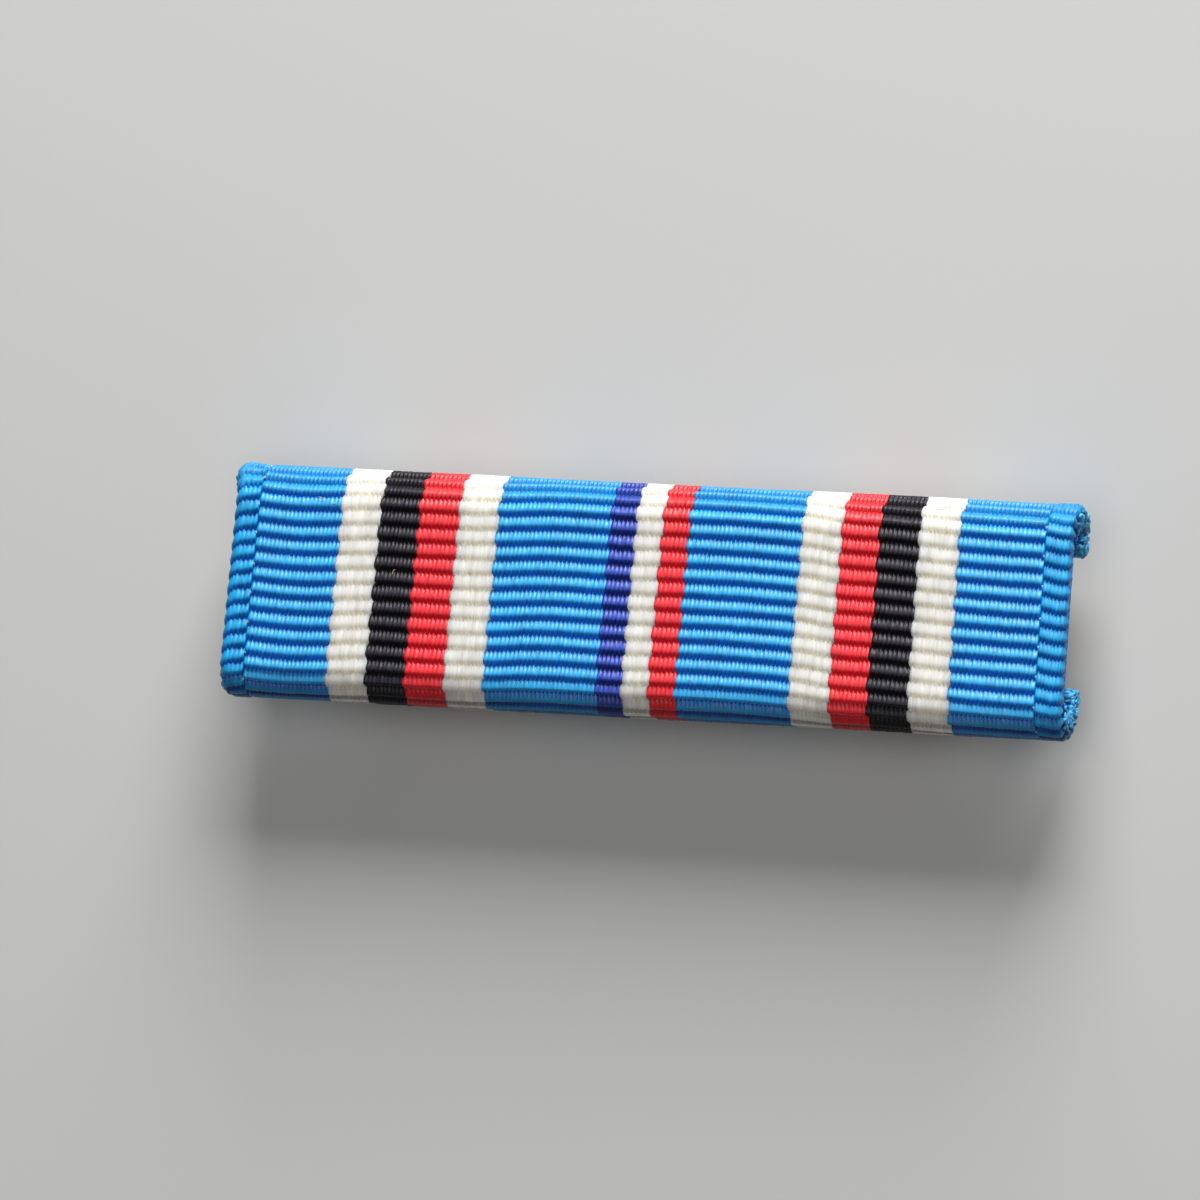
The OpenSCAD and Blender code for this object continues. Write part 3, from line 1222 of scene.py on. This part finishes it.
@dataclass
class Ribbon:
    """The ribbon: its stripes, its selvedge bands, its weft and the ground of the cloth that carries them."""

    weave: Weave
    # Share of the ribs' depth that the stripes of bulkier yarn have
    relief: dict[Thread, float] = field(default_factory=lambda: {Thread.WHITE: 0.42, Thread.RED: 0.7})
    # How far the cloth sinks where a band meets the body, and over how many threads
    joint_sink: float = 0.06 * MM
    joint_threads: float = 0.6
    edge_steps: int = 12

    def __post_init__(self) -> None:
        """Sets up the rows that every piece shares."""
        self.rows = Rows(self.weave)

    def joint(self, threads: np.ndarray) -> np.ndarray:
        """Returns how deep the cloth sinks at a distance from where a band meets the body, in threads."""
        return self.joint_sink * np.clip(1 - threads / self.joint_threads, 0, 1) ** 2

    def body_columns(self, first: int, last: int, relief: float = 1.0) -> Columns:
        """Makes the columns between two column numbers of the ribbon's body.

        Args:
            first: The first column's number from the ribbon's left end.
            last: The last column's number.
            relief: Share of the ribs' depth.

        Returns:
            The columns.
        """
        w = self.weave
        threads = np.arange(first, last + 1) / w.columns_a_thread
        x = w.thread_place(threads)
        begin, end = w.body
        sink = self.joint(np.minimum(threads - begin, end - threads))
        return Columns(x, threads, w.body_shift(x), sink=sink, relief=relief)

    def stripe(self, index: int, colour: Thread, first: int, last: int, finish: bpy.types.Material
               ) -> bpy.types.Object:
        """Builds one stripe.

        Args:
            index: The stripe's place from the left, from 1.
            colour: Its colour.
            first: The number of its first thread.
            last: The number of the first thread after it.
            finish: Its material.

        Returns:
            The stripe.
        """
        per = self.weave.columns_a_thread
        begin, end = self.weave.body
        # Every second rib lies half a thread further right, but not beside a band
        left_step = 0 if first == begin else per // 2
        right_step = 0 if last == end else per // 2
        columns = self.body_columns(first * per, last * per + right_step, self.relief.get(colour, 1.0))
        odd = [rib % 2 for rib in self.rows.rib[:-1]]
        starts = [left_step * o for o in odd]
        stops = [(last - first) * per + right_step * o for o in odd]
        skin = WovenSkin(self.rows, columns, starts, stops)
        return skin.build(f"stripe_{index:02d}_{colour.value}", finish)

    def band_columns(self, selvedge: Selvedge) -> Columns:
        """Makes the columns of a selvedge band, whose outer edge is rounded.

        Args:
            selvedge: The band's selvedge.

        Returns:
            The columns, from left to right.
        """
        w, sign, edge_r = self.weave, selvedge.sign, selvedge.edge_r
        at_left = selvedge.side is Side.LEFT
        joint_thread = w.body[0 if at_left else 1]
        band_w = w.half_width - abs(w.thread_place(joint_thread))
        spacing = band_w / selvedge.threads
        flat = band_w - edge_r
        count = int(round(flat / spacing * w.columns_a_thread))
        # From the body outwards: evenly over the flat part, then round the edge
        out = np.concatenate([np.linspace(0, flat, count + 1), np.full(self.edge_steps, flat)])
        turn = np.concatenate([np.zeros(count + 1), np.linspace(0, math.pi / 2, self.edge_steps + 1)[1:]])
        length = out + math.sqrt((edge_r ** 2 + w.path.half_cloth ** 2) / 2) * turn
        reach = out + edge_r * np.sin(turn)
        rise = smooth_curve((band_w - reach if at_left else reach) / MM, selvedge.rise) * MM
        outer = smooth_step(reach / band_w)
        inner_relief, edge_relief = selvedge.relief
        order = slice(None, None, -1) if at_left else slice(None)
        return Columns(
            x=(sign * (w.half_width - band_w) + sign * out)[order],
            thread=(joint_thread + sign * length / spacing)[order],
            shift=(rise - w.level)[order],
            edge_turn=turn[order],
            edge_side=sign,
            edge_r=edge_r,
            sink=self.joint(length / spacing)[order],
            relief=(inner_relief - (inner_relief - edge_relief) * outer)[order],
            corner=outer[order],
        )

    def band(self, selvedge: Selvedge, finish: bpy.types.Material) -> bpy.types.Object:
        """Builds a selvedge band.

        Args:
            selvedge: The band's selvedge.
            finish: Its material.

        Returns:
            The band.
        """
        columns = self.band_columns(selvedge)
        cells, last = self.rows.count - 1, len(columns.x) - 1
        at_left = selvedge.side is Side.LEFT
        skin = WovenSkin(
            self.rows, columns, [0] * cells, [last] * cells, cut_left=not at_left, cut_right=at_left
        )
        return skin.build(f"selvedge_{selvedge.name}", finish)

    def build(self) -> list[bpy.types.Object]:
        """Returns:
            The pieces.
        """
        w, path = self.weave, self.weave.path
        finishes = {kind: yarn.make() for kind, yarn in YARNS.items()}
        pieces = []
        begin, end = w.body
        first = 0
        for index, stripe in enumerate(STRIPES, 1):
            last = first + stripe.threads
            finish = finishes[stripe.colour]
            pieces.append(self.stripe(index, stripe.colour, max(first, begin), min(last, end), finish))
            first = last
        pieces.extend(self.band(selvedge, finishes[Thread.SELVEDGE]) for selvedge in SELVEDGES)
        weft = WeftTurns(self)
        pieces.extend(weft.loops(selvedge, finishes[Thread.WEFT]) for selvedge in SELVEDGES)
        pieces.append(weft.dots(finishes[Thread.WHITE]))
        pieces.append(StrayFibres(w).build(finishes[Thread.FIBRE]))
        ground = ClothGround(w).build(finishes[Thread.SELVEDGE])
        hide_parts("ribbon")
        for piece in [ground, *pieces]:
            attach(piece, "root")
        return [ground, *pieces]


class Strands:
    """Gathers short round strands into one mesh. Each has its own whole step on the map named weave."""

    def __init__(self) -> None:
        """Starts without any strand."""
        self.points: list[np.ndarray] = []
        self.faces: list[list[int]] = []
        self.corners: list[float] = []
        self.count = 0

    def add(self, line: np.ndarray, radii: np.ndarray, sides: int = 6) -> None:
        """Adds a strand.

        Args:
            line: The points of its middle line, one in a row.
            radii: Its radius at each of them.
            sides: Number of its flat sides.
        """
        first = len(self.points)
        ahead = np.gradient(line, axis=0)
        ahead /= np.linalg.norm(ahead, axis=1, keepdims=True)
        reference = np.eye(3)[np.argmin(np.abs(ahead).max(axis=0))]
        over = np.cross(ahead, reference)
        over /= np.linalg.norm(over, axis=1, keepdims=True)
        aside = np.cross(ahead, over)
        turns = 2 * math.pi * np.arange(sides)[:, None] / sides
        for k, radius in enumerate(radii):
            self.points.extend(line[k] + radius * (np.cos(turns) * over[k] + np.sin(turns) * aside[k]))
        last = len(line) - 1
        for k in range(last):
            ring, after = first + k * sides, first + (k + 1) * sides
            low, high = k / last, (k + 1) / last
            for i in range(sides):
                self.faces.append([ring + i, ring + (i + 1) % sides, after + (i + 1) % sides, after + i])
                left, right = self.count + i / sides, self.count + (i + 1) / sides
                self.corners.extend((left, low, right, low, right, high, left, high))
        for end, step in ((first, -1), (first + last * sides, 1)):
            self.faces.append([end + i for i in range(sides)][::step])
            self.corners.extend([self.count + 0.5, 0.5] * sides)
        self.count += 1

    def build(self, name: str, finish: bpy.types.Material) -> bpy.types.Object:
        """Builds the mesh, all of it shaded smoothly."""
        return woven_piece(name, self.points, self.faces, self.corners, len(self.faces), finish)


@dataclass
class WeftTurns:
    """The weft where it shows: its loops round both selvedges and its cream dots beside the bands."""

    ribbon: Ribbon
    # Number of loops down a selvedge, and of those that are added on each tail's cut end
    loops_a_side: int = 300
    loops_an_end: int = 35
    loop_r: tuple[float, float] = (0.05 * MM, 0.095 * MM)
    # Half the length of a loop, how far it stands out of the edge, and how much lower its ends are
    loop_reach: tuple[float, float] = (0.14 * MM, 0.27 * MM)
    loop_rise: float = 0.035 * MM
    loop_fall: float = 1.6
    # Share of its radius by which a loop is sunk, and by which its tips are thinner
    loop_sink: float = 0.4
    loop_taper: float = 0.45
    # Mean and spread of the loops' slant in radians, and spread of their places
    slant: tuple[float, float] = (0.6, 0.5)
    loop_spread: float = 0.05 * MM
    # Where the loops begin round the edge, beside the face and at the rolls, and where they end, in radians
    loops_from: tuple[float, float] = (0.85 * math.pi, 0.35 * math.pi)
    loops_to: float = math.pi
    # On a tail's cut end: where they begin and end round the edge, and how far round the end they go
    loops_on_end: tuple[float, float] = (-0.25 * math.pi, 0.5 * math.pi)
    loops_round_end: float = 3.0
    # A dot's radius, its length, and how blunt its ends are, from 1 for pointed ones
    dot_r: float = 0.042 * MM
    dot_length: float = 0.13 * MM
    dot_blunt: float = 1.02
    # Depth of a dot in its middle, and how much deeper its ends are
    dot_depth: float = 0.085 * MM
    dot_fall: float = 0.05 * MM
    # Spread of the dots' places along the ribbon and along the bar
    dot_spread: tuple[float, float] = (0.02 * MM, 0.015 * MM)
    points_a_strand: int = 7

    def edge_line(self, selvedge: Selvedge, run: np.ndarray, turn: np.ndarray, lift: np.ndarray
                  ) -> np.ndarray:
        """Finds points on the rounded edge of the cloth.

        Args:
            selvedge: The selvedge.
            run: Distances along the ribbon, which may go on round a tail's end.
            turn: Angles round the edge, from the face to the back. Below 0 they go on flat from the edge.
            lift: Heights over the edge.

        Returns:
            The points, one in a row.
        """
        w, path, edge_r = self.ribbon.weave, self.ribbon.weave.path, selvedge.edge_r
        flat = path.half_cloth * np.maximum(-turn, 0)
        turn = np.maximum(turn, 0)
        inwards = (path.half_cloth + lift) * np.cos(turn)
        y, z = path.place(run, path.half_cloth - inwards)
        past = (np.abs(run) - path.end_run) / path.half_cloth
        end_y, end_z = path.end_place(np.sign(run), np.maximum(past, 0), inwards)
        x = selvedge.sign * (w.half_width - edge_r + (edge_r + lift) * np.sin(turn) - flat)
        return w.settle(x, np.where(past > 0, end_y, y), np.where(past > 0, end_z, z))

    def loops(self, selvedge: Selvedge, finish: bpy.types.Material) -> bpy.types.Object:
        """Builds the loops of a selvedge.

        Args:
            selvedge: The selvedge.
            finish: Their material.

        Returns:
            The loops, as one piece.
        """
        path = self.ribbon.weave.path
        chance = np.random.default_rng(SEED + 1 + selvedge.sign)
        strands = Strands()
        s = np.linspace(-1, 1, self.points_a_strand)
        far = path.end_run + self.loops_round_end * path.half_cloth
        ends = np.linspace(path.end_run, far, self.loops_an_end + 1)[1:]
        for run in (*-ends, *np.linspace(-far, far, self.loops_a_side), *ends):
            rolled = smooth_step((abs(run) - path.core_reach) / path.outer_r)
            # The right selvedge shows its loops only where it rolls
            if selvedge.side is Side.RIGHT and rolled == 0:
                continue
            begin = self.loops_from[0] + (self.loops_from[1] - self.loops_from[0]) * rolled
            end = self.loops_to
            if abs(run) > path.end_run:
                begin, end = self.loops_on_end
            turn = chance.uniform(begin, end)
            slant = chance.normal(*self.slant)
            reach = chance.uniform(*self.loop_reach)
            radius = chance.uniform(*self.loop_r)
            line = self.edge_line(
                selvedge,
                run + chance.normal(0, self.loop_spread) + s * reach * math.sin(slant),
                np.clip(turn + s * reach * math.cos(slant) / path.half_cloth, begin, end),
                self.loop_rise * (1 - self.loop_fall * s * s) - self.loop_sink * radius,
            )
            strands.add(line, radius * (1 - self.loop_taper * s ** 4))
        return strands.build(f"weft_loops_{selvedge.name}", finish)

    def dots(self, finish: bpy.types.Material) -> bpy.types.Object:
        """Builds the cream dots of weft that show at every second rib beside the two selvedge bands.

        Args:
            finish: Their material.

        Returns:
            The dots, as one piece.
        """
        w = self.ribbon.weave
        run_spread, x_spread = self.dot_spread
        strands = Strands()
        s = np.linspace(-1, 1, self.points_a_strand)
        for thread in w.body:
            place = thread * w.columns_a_thread
            columns = self.ribbon.body_columns(place, place)
            for number in range(2, w.ribs - 1, 2):
                run = w.valley(number, columns)[0] + w.chance.normal(0, run_spread) + s * self.dot_length / 2
                y, z = w.path.place(run, self.dot_depth + self.dot_fall * s * s)
                x = columns.x[0] + w.chance.normal(0, x_spread)
                radii = self.dot_r * np.sqrt(self.dot_blunt - s * s)
                strands.add(w.settle(np.full_like(s, x), y, z), radii)
        return strands.build("weft_dots", finish)


@dataclass
class StrayFibres:
    """A few loose fibres that cling to the ribbon's face."""

    weave: Weave
    radius: float = 0.012 * MM
    taper: float = 0.5
    sides: int = 5
    points_a_fibre: int = 9
    # Middle, angle from the bar, length and bend of each fibre, in mm and degrees
    fibres: tuple[tuple[float, float, float, float, float], ...] = (
        (-13.75, 3.35, -25.0, 0.42, 0.08), (-13.2, 3.2, 20.0, 0.2, 0.03), (11.9, 4.35, 10.0, 0.5, -0.12),
        (-10.4, 0.6, 70.0, 0.25, 0.05), (2.3, -3.1, -50.0, 0.3, 0.06), (14.6, -1.2, 35.0, 0.22, -0.04),
    )

    def build(self, finish: bpy.types.Material) -> bpy.types.Object:
        """Builds the fibres.

        Args:
            finish: Their material.

        Returns:
            The fibres, as one piece.
        """
        strands = Strands()
        s = np.linspace(-1, 1, self.points_a_fibre)
        for x, y, angle, length, bend in self.fibres:
            turn = math.radians(angle)
            along, aside = s * length / 2, bend * (1 - s * s)
            run = (y + along * math.sin(turn) + aside * math.cos(turn)) * MM
            place = (x + along * math.cos(turn) - aside * math.sin(turn)) * MM
            line_y, line_z = self.weave.path.place(run, -self.radius * (1 + s * s))
            radii = self.radius * (1 - self.taper * s ** 4)
            strands.add(self.weave.settle(place, line_y, line_z), radii, self.sides)
        return strands.build("stray_fibres", finish)


@dataclass
class Metalwork:
    """The metal bar and the pin clasp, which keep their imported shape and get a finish."""

    nodes: dict[str, bpy.types.Object]
    finishes: tuple[tuple[str, MetalFinish], ...] = (("back_plate", BRASS), ("pin_clasp", STEEL))

    def dress(self) -> list[bpy.types.Object]:
        """Gives the metal pieces their finishes.

        Returns:
            The pieces.
        """
        for node, metal in self.finishes:
            piece, finish = self.nodes[node], metal.make()
            if not piece.material_slots:
                piece.data.materials.append(finish)
            for place in piece.material_slots:
                place.material = finish
        return [self.nodes[node] for node, _ in self.finishes]


@dataclass(frozen=True)
class Lamp:
    """A soft square lamp: where it hangs, the length of its side and its power in watts."""

    name: str
    place: tuple[float, float, float]
    size: float
    power: float

    def hang(self, aim: Vector) -> bpy.types.Object:
        """Hangs the lamp.

        Args:
            aim: The point that it faces.

        Returns:
            The lamp.
        """
        data = bpy.data.lights.new(self.name, "AREA")
        data.shape = "SQUARE"
        data.size = self.size
        data.energy = self.power
        lamp = bpy.data.objects.new(self.name, data)
        lamp.location = self.place
        lamp.rotation_euler = (aim - Vector(self.place)).to_track_quat("-Z", "Y").to_euler()
        return link(lamp)


@dataclass
class Studio:
    """The pale floor, the soft lights and the camera."""

    face_z: float
    # The camera's place round the bar, as angles from the face's normal, and its distance from the face
    azimuth: float = math.radians(17.0)
    elevation: float = math.radians(-1.0)
    roll: float = math.radians(3.26)
    distance: float = 555.2 * MM
    # How far the camera stands to the left of the line through the middle of the face
    aside: float = 1.66 * MM
    # The camera's lens and sensor, in mm, and the nearest and furthest that it sees
    lens: float = 420.0
    sensor: float = 36.0
    clip: tuple[float, float] = (0.01, 5.0)
    floor_half: float = 0.6
    floor_colour: Colour = (196, 196, 194)
    floor_roughness: float = 0.7
    surround: float = 0.05
    lamps: tuple[Lamp, ...] = (
        Lamp("key_lamp", (0.05, 0.33, 0.145), 0.2, 2.5),
        Lamp("fill_lamp", (0.05, 0.02, 0.45), 0.3, 0.65),
    )

    def camera(self) -> bpy.types.Object:
        """Sets the camera at the photograph's angle.

        Returns:
            The camera.
        """
        az, el, turn = self.azimuth, self.elevation, self.roll
        back = Vector((math.sin(az) * math.cos(el), math.sin(el), math.cos(az) * math.cos(el)))
        right = Vector((0, 1, 0)).cross(back).normalized()
        up = back.cross(right)
        right_r = math.cos(turn) * right + math.sin(turn) * up
        up_r = -math.sin(turn) * right + math.cos(turn) * up
        data = bpy.data.cameras.new("camera")
        data.lens = self.lens
        data.sensor_width = self.sensor
        data.clip_start, data.clip_end = self.clip
        camera = link(bpy.data.objects.new("camera", data))
        place = Vector((0, 0, self.face_z)) + self.distance * back - self.aside * right_r
        axes = Matrix((right_r, up_r, back)).transposed()
        camera.matrix_world = Matrix.Translation(place) @ axes.to_4x4()
        bpy.context.scene.camera = camera
        return camera

    def floor(self) -> bpy.types.Object:
        """Lays a plain pale floor under the bar.

        Returns:
            The floor.
        """
        half = self.floor_half
        mesh = bpy.data.meshes.new("floor")
        corners = [(-half, -half, 0), (half, -half, 0), (half, half, 0), (-half, half, 0)]
        mesh.from_pydata(corners, [], [(0, 1, 2, 3)])
        values = {"Base Color": linear(self.floor_colour), "Roughness": self.floor_roughness}
        mesh.materials.append(ShaderGraph("pale_floor").finished(values))
        piece = link(bpy.data.objects.new("floor", mesh))
        return piece

    def build(self) -> None:
        """Sets up the floor, the lamps, the surrounding light and the camera."""
        self.floor()
        for lamp in self.lamps:
            lamp.hang(Vector((0, 0, self.face_z)))
        world = bpy.data.worlds.new("studio")
        world.use_nodes = True
        surround = world.node_tree.nodes["Background"].inputs
        surround["Color"].default_value = (1.0, 1.0, 1.0, 1.0)
        surround["Strength"].default_value = self.surround
        scene = bpy.context.scene
        scene.world = world
        scene.view_settings.view_transform = "Standard"
        scene.view_settings.look = "None"
        self.camera()


def main(nodes: dict[str, bpy.types.Object]) -> None:
    """Builds the ribbon bar and its studio.

    Args:
        nodes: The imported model's nodes, by name.
    """
    logging.basicConfig(level=logging.INFO, format="%(name)s: %(message)s")
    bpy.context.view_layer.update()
    path = WrapPath.from_frame(seat_gap=0.05 * MM, tail_flat=0.1 * MM)
    low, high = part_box("ribbon")
    ribbon = Ribbon(Weave(path, (high[0] - low[0]) / 2))
    for piece in ribbon.build():
        LOG.info("%s: %d faces", piece.name, len(piece.data.polygons))
    for piece in Metalwork(nodes).dress():
        LOG.info("%s: dressed", piece.name)
    Studio(face_z=high[2]).build()


if __name__ == "__main__":
    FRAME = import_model()
    main(FRAME["nodes"])
